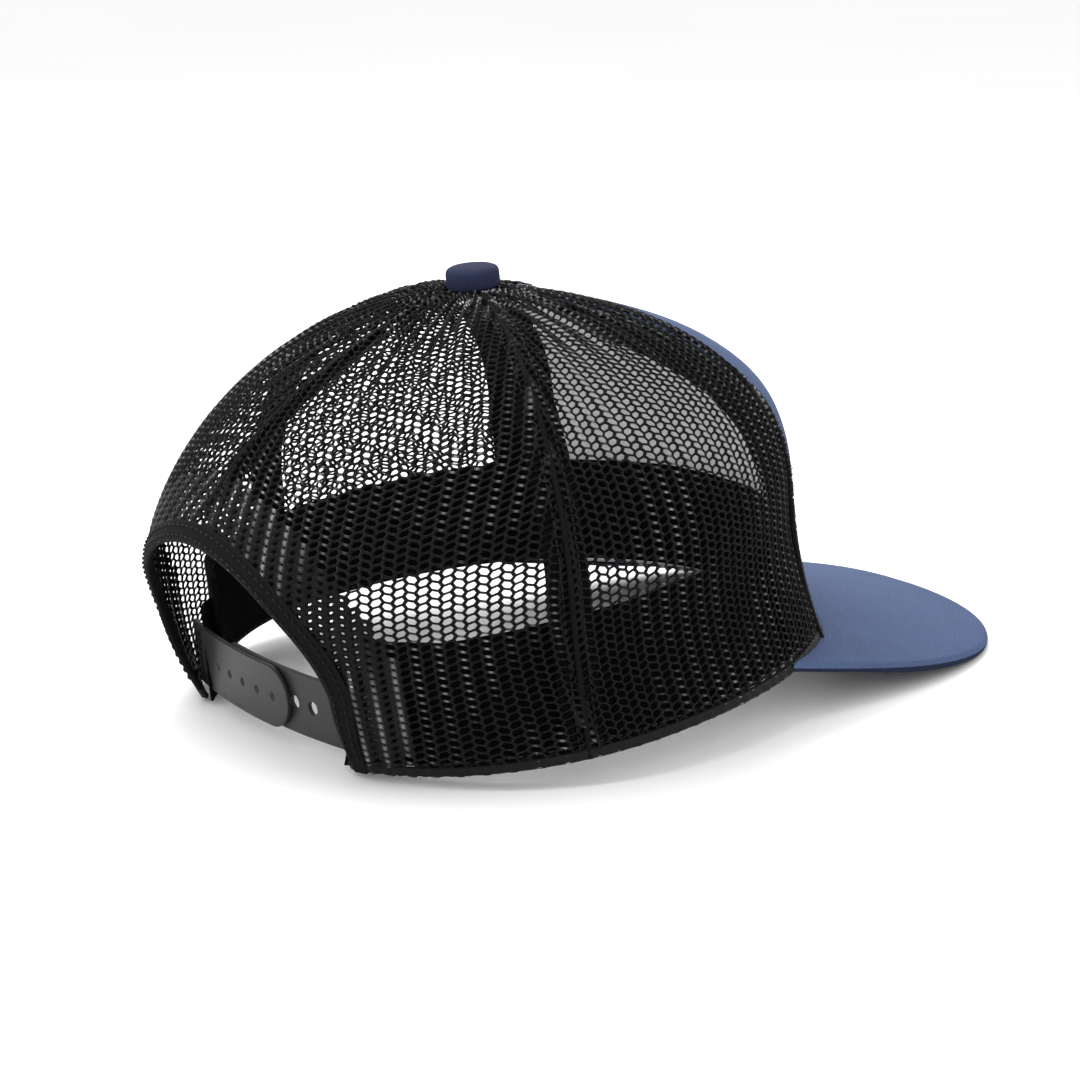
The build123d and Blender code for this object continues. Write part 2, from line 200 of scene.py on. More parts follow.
def beside(seam, distance):
    """Edge of a strip that runs beside a seam, narrower near the button."""
    def edge(climb):
        reach = reach_at(seam, climb)
        return seam + np.sign(distance) * np.minimum(abs(distance), 0.42 * reach) / reach
    return edge


def meridian(angle):
    """Edge of a strip that runs straight up to the button."""
    return lambda climb: np.full_like(climb, angle)


def climb_of_height(angle, height):
    return height / (BELLY_Z - rim_height(angle))


def climbs_along(angle):
    """Cloth length from the rim, and the climb that it reaches, up one meridian."""
    climbs = np.linspace(0, TOP_CLIMB, 500)
    return lengths_along(bare(angle, climbs)), climbs


# ---- meshes
def add_object(name, data):
    piece = bpy.data.objects.new(name, data)
    bpy.context.scene.collection.objects.link(piece)
    return piece


def new_mesh(name, points, faces, uvs, material):
    mesh = bpy.data.meshes.new(name)
    mesh.from_pydata(np.asarray(points).tolist(), [], [list(map(int, f)) for f in faces])
    if uvs is not None:
        layer = mesh.uv_layers.new(name="cloth")
        loops = np.zeros(len(mesh.loops), np.int32)
        mesh.loops.foreach_get("vertex_index", loops)
        layer.data.foreach_set("uv", np.asarray(uvs, np.float32)[loops].ravel())
    mesh.validate()
    mesh.shade_smooth()
    mesh.materials.append(material)
    return add_object(name, mesh)


def dress(piece, nodes=(), body="crown"):
    """Put a piece on its body and hide the CAD nodes that it stands for."""
    if nodes:
        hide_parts(*nodes)
    if body:
        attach(piece, body)
    return piece


def grid_faces(rows, cols, index, flip=False, wrap=False):
    faces = []
    for r in range(rows - 1):
        for c in range(cols if wrap else cols - 1):
            d = (c + 1) % cols
            quad = [index[r, c], index[r, d], index[r + 1, d], index[r + 1, c]]
            faces.append(quad[::-1] if flip else quad)
    return faces


def closed_sheet(name, outer, inner, uv, material):
    """Closed skin between two grids of points that meet along all four edges."""
    rows, cols = outer.shape[:2]
    top = np.arange(rows * cols).reshape(rows, cols)
    under = top + rows * cols
    edge = np.zeros((rows, cols), bool)
    edge[[0, -1], :] = True
    edge[:, [0, -1]] = True
    under[edge] = top[edge]
    faces = np.array(grid_faces(rows, cols, top, flip=True) + grid_faces(rows, cols, under))
    used, packed = np.unique(faces, return_inverse=True)
    points = np.concatenate([outer.reshape(-1, 3), inner.reshape(-1, 3)])[used]
    uvs = np.concatenate([uv.reshape(-1, 2), uv.reshape(-1, 2)])[used]
    return new_mesh(name, points, packed.reshape(faces.shape), uvs, material)


def eased(count, edge, length):
    """Shares of a length from 0 to 1, closer together at both ends, where the edge is rounded."""
    near = np.array([0, 0.1, 0.3, 0.6, 1.0]) * min(edge / length, 0.2)
    middle = np.linspace(near[-1], 1 - near[-1], count)
    return np.concatenate([near[:-1], middle, (1 - near[:-1])[::-1]])


def cloth_slab(name, surface, size, thickness, counts, material):
    """Sheet of cloth with rounded edges: surface(s, t, depth) gives its points, s and t from 0 to 1."""
    radius = thickness / 2
    s, t = np.meshgrid(eased(counts[0], radius, size[0]), eased(counts[1], radius, size[1]))
    edge = np.minimum(np.minimum(s, 1 - s) * size[0], np.minimum(t, 1 - t) * size[1])
    round_off = radius * (1 - np.sqrt(1 - (1 - np.minimum(edge / radius, 1)) ** 2))
    uv = np.stack([s * size[0], t * size[1]], -1)
    return closed_sheet(name, surface(s, t, round_off), surface(s, t, thickness - round_off), uv, material)


def crown_strip(edge_a, edge_b, climb_a, climb_b, depth, ripple=0.0):
    """Surface function of a layer of the crown between two edges."""
    def surface(s, t, below):
        climb = climb_a + (climb_b - climb_a) * t
        a, b = edge_a(climb), edge_b(climb)
        wave = ripple * np.sin(37 * s + 11 * t) * np.sin(23 * t + 5)
        return crown(a + (b - a) * s, climb, depth + below + wave)
    return surface


def strip_size(edge_a, edge_b, climb_a, climb_b):
    climbs = np.linspace(climb_a, climb_b, 60)
    middle = bare((edge_a(climbs) + edge_b(climbs)) / 2, climbs)
    length = step_lengths(middle).sum()
    widths = [sweep_length(edge_a(c), edge_b(c), c) for c in climbs]
    return max(widths), length, float(np.mean(widths)) * length


def sweep_length(angle_a, angle_b, climb):
    return float(step_lengths(bare(np.linspace(angle_a, angle_b, 40), climb)).sum())


def tube_faces(rings, sides, first=0):
    index = first + np.arange(rings * sides).reshape(rings, sides)
    faces = grid_faces(rings, sides, index, wrap=True)
    faces.append(list(index[0][::-1]))
    faces.append(list(index[-1]))
    return faces


def tubes(name, runs, material, sides):
    """Closed round tubes in one piece. Each run is centres, radii and, if flattened, normals and squeeze."""
    points, faces, uvs = [], [], []
    for run in runs:
        centres, radii = np.asarray(run[0], float), np.asarray(run[1], float)
        heading = np.gradient(centres, axis=0)
        heading /= np.linalg.norm(heading, axis=1, keepdims=True) + 1e-12
        helper = np.asarray(run[2], float) if len(run) > 2 else np.array([0.31, 0.17, 0.93])
        across = np.cross(heading, np.broadcast_to(helper, heading.shape))
        across /= np.linalg.norm(across, axis=1, keepdims=True) + 1e-12
        normal = np.cross(across, heading)
        squeeze = run[3] if len(run) > 3 else 1.0
        turn = np.arange(sides) * 2 * pi / sides
        ring = (across[:, None] * np.cos(turn)[None, :, None]
                + normal[:, None] * squeeze * np.sin(turn)[None, :, None])
        faces += tube_faces(len(centres), sides, sum(map(len, points)))
        points.append((centres[:, None] + ring * radii[:, None, None]).reshape(-1, 3))
        uvs.append(np.stack(np.meshgrid(turn * radii.max(), lengths_along(centres)), -1).reshape(-1, 2))
    return new_mesh(name, np.concatenate(points), faces, np.concatenate(uvs), material)


def stitch_runs(path, outwards, pitch, thread=0.00028, gap=0.28):
    """Raised thread segments along a path, each dipping into the cloth at its ends."""
    length = lengths_along(path)
    runs = []
    for start in np.arange(pitch / 2, length[-1] - pitch, pitch):
        where = start + np.linspace(0, pitch * (1 - gap), 6)
        line = np.stack([np.interp(where, length, path[:, i]) for i in range(3)], -1)
        away = np.stack([np.interp(where, length, outwards[:, i]) for i in range(3)], -1)
        arch = np.array([-1.1, 0.2, 0.7, 0.7, 0.2, -1.1])[:, None] * thread
        radii = thread * np.array([0.6, 0.95, 1.1, 1.1, 0.95, 0.6])
        runs.append((line + away * arch, radii))
    return runs


def crown_path(angle, climb, depth):
    """A line on the crown and the outward direction along it."""
    line = crown(angle, climb, depth)
    return line, unit(line - crown(angle, climb, depth + 0.001))


# ---- materials
class Paint:
    """A new Principled material, with short names for building its nodes."""

    def __init__(self, name, roughness, **settings):
        self.material = bpy.data.materials.new(name)
        self.material.use_nodes = True
        self.tree = self.material.node_tree
        self.principled = self.tree.nodes["Principled BSDF"]
        self.principled.inputs["Roughness"].default_value = roughness
        for socket, value in settings.items():
            self.principled.inputs[socket.replace("_", " ")].default_value = value

    def node(self, kind, **values):
        node = self.tree.nodes.new(kind)
        for key, value in values.items():
            if key in node.inputs:
                node.inputs[key].default_value = value
            else:
                setattr(node, key, value)
        return node

    def wire(self, out, into):
        self.tree.links.new(out, into)

    def maths(self, operation, *values):
        node = self.node("ShaderNodeMath", operation=operation)
        for socket, value in zip(node.inputs, values):
            if isinstance(value, (int, float)):
                socket.default_value = value
            else:
                self.wire(value, socket)
        return node.outputs[0]

    def plus(self, a, b):
        return self.maths("ADD", a, b)

    def times(self, a, b):
        return self.maths("MULTIPLY", a, b)

    def ripple(self, place, wavelength):
        return self.maths("SINE", self.times(place, 2 * pi / wavelength))

    def cloth_uv(self):
        """Places on the cloth itself, in metres across and along."""
        split = self.node("ShaderNodeSeparateXYZ")
        self.wire(self.node("ShaderNodeUVMap", uv_map="cloth").outputs["UV"], split.inputs[0])
        return split.outputs["X"], split.outputs["Y"]

    def noise(self, scale, detail):
        node = self.node("ShaderNodeTexNoise", Scale=scale, Detail=detail)
        self.wire(self.node("ShaderNodeTexCoord").outputs["Object"], node.inputs["Vector"])
        return node.outputs["Fac"]

    def shades(self, level, colour, places, factors):
        """The colour, darkened or brightened by its factors where the level reaches their places."""
        node = self.node("ShaderNodeValToRGB")
        elements = node.color_ramp.elements
        while len(elements) < len(places):
            elements.new(0.5)
        for element, place, factor in zip(elements, places, factors):
            element.position = place
            element.color = (*(min(1.0, c * factor) for c in colour), 1)
        self.wire(level, node.inputs["Fac"])
        return node.outputs["Color"]

    def finish(self, colour, height, strength, distance):
        self.wire(colour, self.principled.inputs["Base Color"])
        bump = self.node("ShaderNodeBump", Strength=strength, Distance=distance)
        self.wire(height, bump.inputs["Height"])
        self.wire(bump.outputs["Normal"], self.principled.inputs["Normal"])
        return self.material


def woven(name, colour, thread, twill=True, roughness=0.85, strength=0.5, **settings):
    """Woven cloth whose threads follow the cloth."""
    paint = Paint(name, roughness, **settings)
    u, v = paint.cloth_uv()
    height = paint.times(paint.ripple(u, thread), paint.ripple(v, thread))
    if twill:
        rib = paint.ripple(paint.plus(u, v), thread * 1.6)
        height = paint.plus(paint.times(rib, 0.6), paint.times(height, 0.4))
    slub, blotch = paint.noise(900.0, 3.0), paint.noise(55.0, 4.0)
    level = paint.plus(paint.times(height, 0.16), paint.times(slub, 0.55))
    level = paint.plus(level, paint.times(blotch, 0.45))
    shaded = paint.shades(level, colour, (0.25, 0.5, 0.8), (0.82, 1, 1.18))
    return paint.finish(shaded, paint.plus(height, paint.times(slub, 1.4)), strength, thread * 0.45)


def grained(name, colour, scale, roughness, strength, distance, **settings):
    """Moulded or foamed material with grain."""
    paint = Paint(name, roughness, **settings)
    fine, wide = paint.noise(scale, 4.0), paint.noise(scale / 25, 3.0)
    level = paint.plus(paint.times(fine, 0.4), paint.times(wide, 0.6))
    shaded = paint.shades(level, colour, (0.3, 0.5, 0.7), (0.8, 1, 1.2))
    paint.wire(paint.plus(paint.times(wide, 0.2), roughness - 0.1), paint.principled.inputs["Roughness"])
    return paint.finish(shaded, fine, strength, distance)


def yarn(name, colour, pitch, roughness, lean=0.6, painted_glint=0.0, **settings):
    """Filament yarn: fine twisted lines along the cloth; a glint weight paints a highlight into the base
    colour of every other wale, in patches.
    """
    paint = Paint(name, roughness, **settings)
    u, v = paint.cloth_uv()
    line = paint.ripple(paint.plus(u, paint.times(v, lean)), pitch)
    noise = paint.noise(700.0, 3.0)
    level = paint.plus(paint.times(line, 0.22), noise)
    shaded = paint.shades(level, colour, (0.3, 0.5, 0.75), (0.6, 1, 1.7))
    height = paint.plus(line, paint.times(noise, 0.8))
    if painted_glint:
        # painted highlight: a light grey mixed into the base colour along every other wale, in patches
        wave = paint.maths("COSINE", paint.times(u, pi / WALE))
        crest = paint.maths("POWER", paint.maths("MAXIMUM", wave, 0.0), 6.0)
        patch = paint.maths("MAXIMUM", paint.maths("SUBTRACT", paint.noise(26.0, 2.0), 0.47), 0.0)
        share = paint.maths("MINIMUM", paint.times(paint.times(crest, patch), painted_glint), 1.0)
        bright = paint.node("ShaderNodeMix", data_type="RGBA")
        paint.wire(share, bright.inputs[0])
        paint.wire(shaded, bright.inputs[6])
        bright.inputs[7].default_value = (0.30, 0.30, 0.31, 1)
        shaded = bright.outputs[2]
    return paint.finish(shaded, height, 0.45, pitch * 0.35)


BLUE = (0.066, 0.098, 0.196)
# the next colour is the cap's blue darkened as painted shade, for the shade under the visor
PAINTED_SHADE_BLUE = (0.014, 0.019, 0.044)
BLACK = (0.0035, 0.0035, 0.004)
YARN_BLACK = (0.0045, 0.0045, 0.005)
THREAD_LEAN = 2.5
twill_blue = woven("twill_blue", BLUE, 0.00055, Specular_IOR_Level=0.15)
twill_blue_painted_shade = woven("twill_blue_painted_shade", PAINTED_SHADE_BLUE, 0.00055, Specular_IOR_Level=0.08)
button_twill = woven("button_twill", (0.022, 0.028, 0.064), 0.00055, Specular_IOR_Level=0.1)
# the net yarn gets painted highlights along every other wale
net_yarn = yarn("net_yarn", YARN_BLACK, 0.00016, 0.32, painted_glint=4.5, Specular_IOR_Level=0.10)
hem_yarn = yarn("hem_yarn", YARN_BLACK, 0.00016, 0.4, Specular_IOR_Level=0.12)
tape_black = woven("tape_black", BLACK, 0.0005, twill=False, roughness=0.75, strength=0.7,
                   Specular_IOR_Level=0.12)
band_black = woven("band_black", (0.003, 0.0028, 0.003), 0.0006, roughness=0.9, strength=0.6,
                   Specular_IOR_Level=0.05)
# the glow stands for daylight that comes through the front panel
lining_grey = woven("lining_grey", (0.80, 0.80, 0.80), 0.0009, twill=False, strength=0.6,
                    Emission_Color=(1, 1, 1, 1), Emission_Strength=0.14)
foam_white = grained("foam_white", (0.55, 0.55, 0.56), 1600.0, 0.9, 0.9, 0.0003)
thread_black = yarn("thread_black", (0.005, 0.005, 0.0055), 0.00022, 0.5, THREAD_LEAN, Specular_IOR_Level=0.2)
thread_blue = yarn("thread_blue", (0.09, 0.125, 0.23), 0.00022, 0.5, THREAD_LEAN)
plastic_dark = grained("plastic_dark", (0.020, 0.021, 0.023), 2600.0, 0.42, 0.25, 0.00006,
                       Specular_IOR_Level=0.35)
board_white = grained("board_white", (0.6, 0.6, 0.58), 900.0, 0.6, 0.2, 0.0001)
steel = grained("steel", (0.62, 0.62, 0.63), 3000.0, 0.32, 0.1, 0.00003, Metallic=1.0)
label_black = woven("label_black", (0.014, 0.014, 0.015), 0.00035, twill=False, roughness=0.55)
label_orange = woven("label_orange", (0.62, 0.20, 0.045), 0.00035, twill=False, roughness=0.55)


def sew(name, runs, material=thread_black):
    return dress(tubes(name, runs, material, sides=5))


# ---- mesh panels: a knitted net of real strands
SIDES = (("right", 1), ("left", -1))
HEX_HALF_TOP = 0.36 * WALE
HEX_HALF_W = WALE - HEX_HALF_TOP
HOLE_SHARE = 0.685
STRAND_T = 0.0009
PLEAT_DEPTH = 0.0011
SLACK_DEPTH = 0.0008
LAP_LIFT = 0.0013  # of the net where it laps over the front panel
WALE_RISE = 0.00022
HEM_H = 0.003
LAP = radians(20.0)  # of the net over the front panel, at the button
ARCH_HEM = 0.017  # the net is doubled along the back opening
ARCH_HEM_OPEN = 0.36  # share of a hole left open there
SEAM_FADE = 0.0025  # the holes shrink over this distance to a seam


def hexagon():
    """Twelve points around a net cell: its corners and the middles of its sides."""
    corners = np.array([(HEX_HALF_TOP, COURSE / 2), (HEX_HALF_W, 0), (HEX_HALF_TOP, -COURSE / 2),
                        (-HEX_HALF_TOP, -COURSE / 2), (-HEX_HALF_W, 0), (-HEX_HALF_TOP, COURSE / 2)])
    middles = (corners + np.roll(corners, -1, axis=0)) / 2
    return np.stack([corners, middles], 1).reshape(-1, 2)


def in_arch(angle, climb, grow=0.0):
    p = bare(angle, climb)
    x, z = np.abs(p[..., 0]), p[..., 2]
    above = (x / (ARCH_HALF_W + grow)) ** 2 + ((z - ARCH_MID_Z) / (ARCH_RISE + grow)) ** 2 < 1
    share = np.clip(z / ARCH_MID_Z, 0, 1)
    side = ARCH_FOOT_HALF_W + grow + (ARCH_HALF_W - ARCH_FOOT_HALF_W) * share
    return (p[..., 1] > 0) & np.where(z > ARCH_MID_Z, above, x < side)


ARCH_CLIMB = 0.45


def out_of_arch(angle, climb, sign):
    """Slide points that lie in the back opening straight outwards to its edge."""
    inside = in_arch(angle, climb)
    away_a, away_c = angle - sign * BACK, climb - ARCH_CLIMB
    low, high = np.ones_like(angle), np.full_like(angle, 12.0)
    for _ in range(26):
        middle = (low + high) / 2
        still = in_arch(sign * BACK + away_a * middle, np.maximum(ARCH_CLIMB + away_c * middle, 0))
        low, high = np.where(still, middle, low), np.where(still, high, middle)
    grow = np.where(inside, high, 1.0)
    return sign * BACK + away_a * grow, np.where(inside, np.maximum(ARCH_CLIMB + away_c * grow, 0), climb)


def gather(angle, climb):
    """Share of its width that the net keeps near the button, where it is bunched."""
    return np.minimum(reach_at(angle, climb) / 0.085, 1) ** 0.5


def pleats(angle, climb, side_seed):
    """Depth of the small folds that run down from the button, and of the cloth's slack."""
    near_top = np.clip((climb - 1.45) / 0.4, 0, 1) ** 1.3 * np.clip((TOP_CLIMB - climb) / 0.05, 0, 1)
    folds = PLEAT_DEPTH * np.sin(38 * angle + 1.2 * np.sin(5 * angle)) * near_top
    slack = SLACK_DEPTH * np.sin(3.1 * angle + 2.2 * climb + side_seed)
    slack *= np.sin(2.6 * climb + 1.3 * side_seed)
    return folds + slack * np.clip(climb * 3, 0, 1) * np.clip((1.9 - climb) * 3, 0, 1)


def front_seam(climb):
    """The net's front edge laps over the front panel towards the button."""
    return FRONT_SEAM - LAP * np.clip((climb - 1.48) / 0.42, 0, 1) ** 1.3


def net_panel(name, node, seam_a, seam_b, sign, has_arch):
    """Knitted net between two seams, its hole columns parallel to the panel's middle.

    Each cell is a hexagon round a smaller hole. The ridge between cells has a front and a back, which meet at
    the hole's edge, so every strand is closed and thickest along its middle.
    """
    middle = (seam_a + seam_b) / 2
    lengths, climbs = climbs_along(middle)
    half_columns = int(sweep_length(seam_a, seam_b, 1.0) / WALE / 2) + 6
    courses = int(lengths[-1] / COURSE) + 1
    j, k = np.meshgrid(np.arange(-half_columns, half_columns + 1), np.arange(courses))
    centres = np.stack([j * WALE, (k + 0.5 + (j % 2) / 2) * COURSE], -1).reshape(-1, 2)

    def place(uv):
        v = np.clip(uv[..., 1] + 0.13 * COURSE * np.sin(pi * uv[..., 0] / WALE), 0, lengths[-1])
        climb = np.interp(v, lengths, climbs)
        speed = np.linalg.norm(bare(middle + 0.01, climb) - bare(middle - 0.01, climb), axis=-1) / 0.02
        angle = middle + uv[..., 0] * gather(middle, climb) / speed
        return angle, climb

    def bounds(climb):
        first = np.full_like(climb, seam_a) if has_arch else sign * front_seam(climb)
        return np.minimum(first, seam_b), np.maximum(first, seam_b)

    angle, climb = place(centres)
    low, high = bounds(climb)
    keep = (angle > low) & (angle < high) & (centres[:, 1] < lengths[-1] - COURSE / 2)
    if has_arch:
        keep &= ~in_arch(angle, climb)
    centres, angle, climb, low, high = (a[keep] for a in (centres, angle, climb, low, high))
    reach = reach_at(angle, climb)
    to_seam = np.minimum(angle - low, high - angle) * reach
    open_share = np.clip(to_seam / SEAM_FADE, 0.12, 1) * np.clip(centres[:, 1] / HEM_H, 0.25, 1)
    if has_arch:
        open_share *= np.where(in_arch(angle, climb, ARCH_HEM), ARCH_HEM_OPEN, 1.0)
    rng = np.random.default_rng(11)
    open_share = open_share * rng.uniform(0.94, 1.05, len(centres))

    outline = hexagon()
    ridge = centres[:, None] + outline[None]
    hole = centres[:, None] + outline[None] * (HOLE_SHARE * open_share)[:, None, None]
    cells, sides = len(centres), len(outline)
    keys = np.round(ridge.reshape(-1, 2) / (WALE / 200)).astype(int)
    _, first, shared = np.unique(keys, axis=0, return_index=True, return_inverse=True)
    shared = shared.reshape(cells, sides)
    ridge_uv = ridge.reshape(-1, 2)[first]
    count = len(ridge_uv)
    hole_index = 2 * count + np.arange(cells * sides).reshape(cells, sides)
    uv = np.concatenate([ridge_uv, ridge_uv, hole.reshape(-1, 2)])
    wale_lift = WALE_RISE * np.cos(pi * uv[:, 0] / WALE)
    layer = np.concatenate([np.full(count, -STRAND_T / 2), np.full(count, STRAND_T / 2),
                            np.zeros(cells * sides)])
    angle, climb = place(uv)
    angle = np.clip(angle, *bounds(climb))
    if has_arch:
        angle, climb = out_of_arch(angle, climb, sign)
        angle = np.clip(angle, *bounds(climb))
    over = np.clip((FRONT_SEAM - np.abs(angle)) * reach_at(angle, climb) / 0.002 + 1, 0, 1) * (climb > 1.25)
    folds = pleats(angle, climb, sign * middle)
    depth = 0.0005 + layer - wale_lift + folds * (1 - over) - LAP_LIFT * over
    points = crown(angle, climb, depth)
    after = np.roll(np.arange(sides), -1)
    top = np.stack([shared, shared[:, after], hole_index[:, after], hole_index], -1).reshape(-1, 4)
    under = np.stack([shared + count, hole_index, hole_index[:, after], shared[:, after] + count], -1)
    faces = np.concatenate([top, under.reshape(-1, 4)])
    rim = boundary_walls(shared, count)
    if sign > 0:
        faces, rim = faces[:, ::-1], rim[:, ::-1]
    piece = new_mesh(name, points, np.concatenate([faces, rim]), uv, net_yarn)
    return dress(piece, [node])


def boundary_walls(shared, count):
    """Quads that close the net's outer edge, between its two faces."""
    edges = np.stack([shared, np.roll(shared, -1, axis=1)], -1).reshape(-1, 2)
    _, inverse, uses = np.unique(np.sort(edges, axis=1), axis=0, return_inverse=True, return_counts=True)
    lone = edges[uses[inverse.reshape(-1)] == 1]
    return np.stack([lone[:, 1], lone[:, 0], lone[:, 0] + count, lone[:, 1] + count], 1)


for side, sign in SIDES:
    for where, seam_a, seam_b in (("side", FRONT_SEAM, SIDE_SEAM), ("back", SIDE_SEAM, BACK)):
        has_arch = where == "back"
        net = net_panel(f"net_{where}_{side}", f"{where}_mesh_{side}", sign * seam_a, sign * seam_b, sign,
                        has_arch)
        width, length, area = strip_size(meridian(seam_a), meridian(seam_b), 0.0, TOP_CLIMB)
        if has_arch:
            area -= pi / 4 * ARCH_HALF_W * ARCH_RISE + ARCH_HALF_W * ARCH_MID_Z


# ---- front panel: twill, foam and lining between the front seams
front_edges = meridian(0.002 - FRONT_SEAM), meridian(FRONT_SEAM - 0.002)
front_w, front_l, front_area = strip_size(*front_edges, 0.0, TOP_CLIMB)
foam_depth = COVER_T + 0.0001
lining_depth = foam_depth + FOAM_T + 0.0001
front_layers = (
    ("front_cover", "front_panel_cover", 0.0, COVER_T, twill_blue, "twill", 0.00012),
    ("front_foam", "front_panel_foam", foam_depth, FOAM_T, foam_white, "foam", 0.0),
    ("front_lining", "front_panel_lining", lining_depth, LINING_T, lining_grey, "lining", 0.0),
)
for name, node, depth, thick, material, slot, ripple in front_layers:
    surface = crown_strip(*front_edges, 0.0, TOP_CLIMB, depth, ripple)
    layer = cloth_slab(name, surface, (front_w, front_l), thick, (44, 70), material)
    dress(layer, [node])


# ---- tapes inside the seams
TAPE_FROM_SEAM = 0.001
TAPE_FOOT = 0.02  # climbs between which the tapes run
TAPE_TOP = 1.80
BACK_TAPE_FOOT = 1.28


def tape_piece(name, node, cut_width, edge_a, edge_b, foot=TAPE_FOOT):
    size = strip_size(edge_a, edge_b, foot, TAPE_TOP)
    surface = crown_strip(edge_a, edge_b, foot, TAPE_TOP, TAPE_DEPTH + 0.0003, 0.00025)
    tape = cloth_slab(name, surface, size[:2], TAPE_T, (7, 60), tape_black)
    dress(tape, [node])


def over_seam(seam):
    return beside(seam, -SEAM_TAPE_W / 2), beside(seam, SEAM_TAPE_W / 2)


for side, sign in SIDES:
    seam = sign * FRONT_SEAM
    tape_piece(f"front_tape_{side}", f"front_seam_tape_{side}", FRONT_TAPE_W,
               beside(seam, sign * TAPE_FROM_SEAM), beside(seam, sign * FRONT_TAPE_W))
    tape_piece(f"side_tape_{side}", f"side_seam_tape_{side}", SEAM_TAPE_W, *over_seam(sign * SIDE_SEAM))
tape_piece("back_tape", "back_seam_tape", SEAM_TAPE_W, *over_seam(BACK), BACK_TAPE_FOOT)


# ---- raised seam ridges where two net panels are sewn together, and their stitches
STITCH_OFFSET = 0.0026


def seam_ridge(name, angle, climb_a, width, height):
    climbs = np.linspace(climb_a, TOP_CLIMB - 0.03, 90)
    line, outwards = crown_path(angle(climbs), climbs, 0.0001)
    wobble = 1 + 0.10 * np.sin(np.arange(90) * 2.1)
    ridge = tubes(name, [(line, width * wobble, outwards, height / width)], tape_black, sides=10)
    return dress(ridge)


for side, angle, foot in (("right", SIDE_SEAM, 0.0), ("left", -SIDE_SEAM, 0.0), ("back", BACK, 1.27)):
    seam_ridge(f"seam_ridge_{side}", meridian(angle), foot, 0.0009, 0.00035)
    runs = []
    for offset in (-STITCH_OFFSET, STITCH_OFFSET):
        climbs = np.linspace(max(foot, 0.03), 1.85, 260)
        angles = angle + offset / reach_at(angle, climbs)
        runs += stitch_runs(*crown_path(angles, climbs, -0.0002), 0.0026)
    sew(f"seam_stitches_{side}", runs)

for side, sign in SIDES:
    seam_ridge(f"front_seam_fold_{side}", lambda climbs: sign * (front_seam(climbs) + 0.006), 0.0, 0.0010,
               0.0004)
    climbs = np.linspace(0.03, 1.86, 260)
    angles = sign * front_seam(climbs) - sign * 0.0022 / reach_at(sign * FRONT_SEAM, climbs)
    runs = stitch_runs(*crown_path(angles, climbs, -0.0001), 0.0028)
    sew(f"front_stitches_{side}", runs, thread_blue)
    fringe = []
    for climb in np.linspace(0.0, 1.86, 230):
        along = random.uniform(-0.0006, 0.0006)
        reach = reach_at(sign * FRONT_SEAM, climb)
        ends = sign * (front_seam(climb) - np.linspace(-0.001, random.uniform(0.0006, 0.0021), 5) / reach)
        rise = np.array([0.0002, 0.0007, 0.0009, 0.0008, random.uniform(0.0002, 0.0012)])
        heights = np.clip(climb + np.linspace(0, along, 5) * 12, 0, 1.95)
        fringe.append((crown(ends, heights, -rise), np.array([0.3, 0.32, 0.3, 0.24, 0.12]) * 0.001))
    sew(f"front_fringe_{side}", fringe, hem_yarn)


# ---- rim hem, folded round the lower edge of the net
def rim_hem(name, angle_a, angle_b):
    def surface(s, t, below):
        angle = angle_a + (angle_b - angle_a) * s
        drop = 0.00025 * np.sin(s * 260) * (1 - t)
        return crown(angle, climb_of_height(angle, HEM_H * t), -0.0002 + below + drop)
    length = abs(sweep_length(angle_a, angle_b, 0.0))
    hem = cloth_slab(name, surface, (length, HEM_H), 0.0018, (170, 7), hem_yarn)
    return dress(hem)


ARCH_FOOT = radians(147.0)
rim_hem("rim_hem_right", FRONT_SEAM, ARCH_FOOT)
rim_hem("rim_hem_left", -FRONT_SEAM, -ARCH_FOOT)
for side, sign in SIDES:
    angles = sign * np.linspace(FRONT_SEAM + 0.03, ARCH_FOOT - 0.03, 300)
    climbs = climb_of_height(angles, 0.0042)
    runs = stitch_runs(*crown_path(angles, climbs, -0.0001), 0.0030)
    sew(f"rim_stitches_{side}", runs)


# ---- binding rolled over the edge of the back opening
def arch_edge(share, grow):
    """Angle and climb along the back opening's edge, from the right foot over the top to the left."""
    leg = ARCH_MID_Z / (2 * ARCH_MID_Z + pi * (ARCH_HALF_W + ARCH_RISE) / 2)
    turn = np.clip((share - leg) / (1 - 2 * leg), 0, 1) * pi
    x = -(ARCH_HALF_W + grow) * np.cos(turn)
    z = ARCH_MID_Z + (ARCH_RISE + grow) * np.sin(turn)
    down = np.maximum(np.maximum(leg - share, share - (1 - leg)) / leg, 0)
    x = x * (1 - (1 - ARCH_FOOT_HALF_W / ARCH_HALF_W) * down)
    z = z - (ARCH_MID_Z - 0.001) * down
    return angle_climb_at(x, z)


def angle_climb_at(x, z):
    """Angle and climb of the crown's back point at cap-frame x and z, by bisection and slide."""
    angle = np.full_like(x, BACK)
    climb = np.ones_like(x)
    for _ in range(14):
        low, high = np.zeros_like(x), np.full_like(x, 1.9)
        for _ in range(22):
            climb = (low + high) / 2
            over = bare(angle, climb)[..., 2] > z
            low, high = np.where(over, low, climb), np.where(over, climb, high)
        here = bare(angle, climb)[..., 0]
        slope = (bare(angle + 0.01, climb)[..., 0] - bare(angle - 0.01, climb)[..., 0]) / 0.02
        angle = angle + np.clip((x - here) / slope, -0.3, 0.3)
    return angle, climb


def binding_surface(s, t, below):
    """Tape folded over the edge: t runs from its outer hem, round the edge, to its inner hem."""
    wrap = (t - 0.5) * 2
    grow = BINDING_W * np.abs(wrap) - 0.0006 * (1 - np.abs(wrap)) + below
    angle, climb = arch_edge(s, grow)
    face = np.clip(wrap * 5, -1, 1)
    depth = 0.0006 + 0.0011 * face - below * face
    return crown(angle, climb, depth)


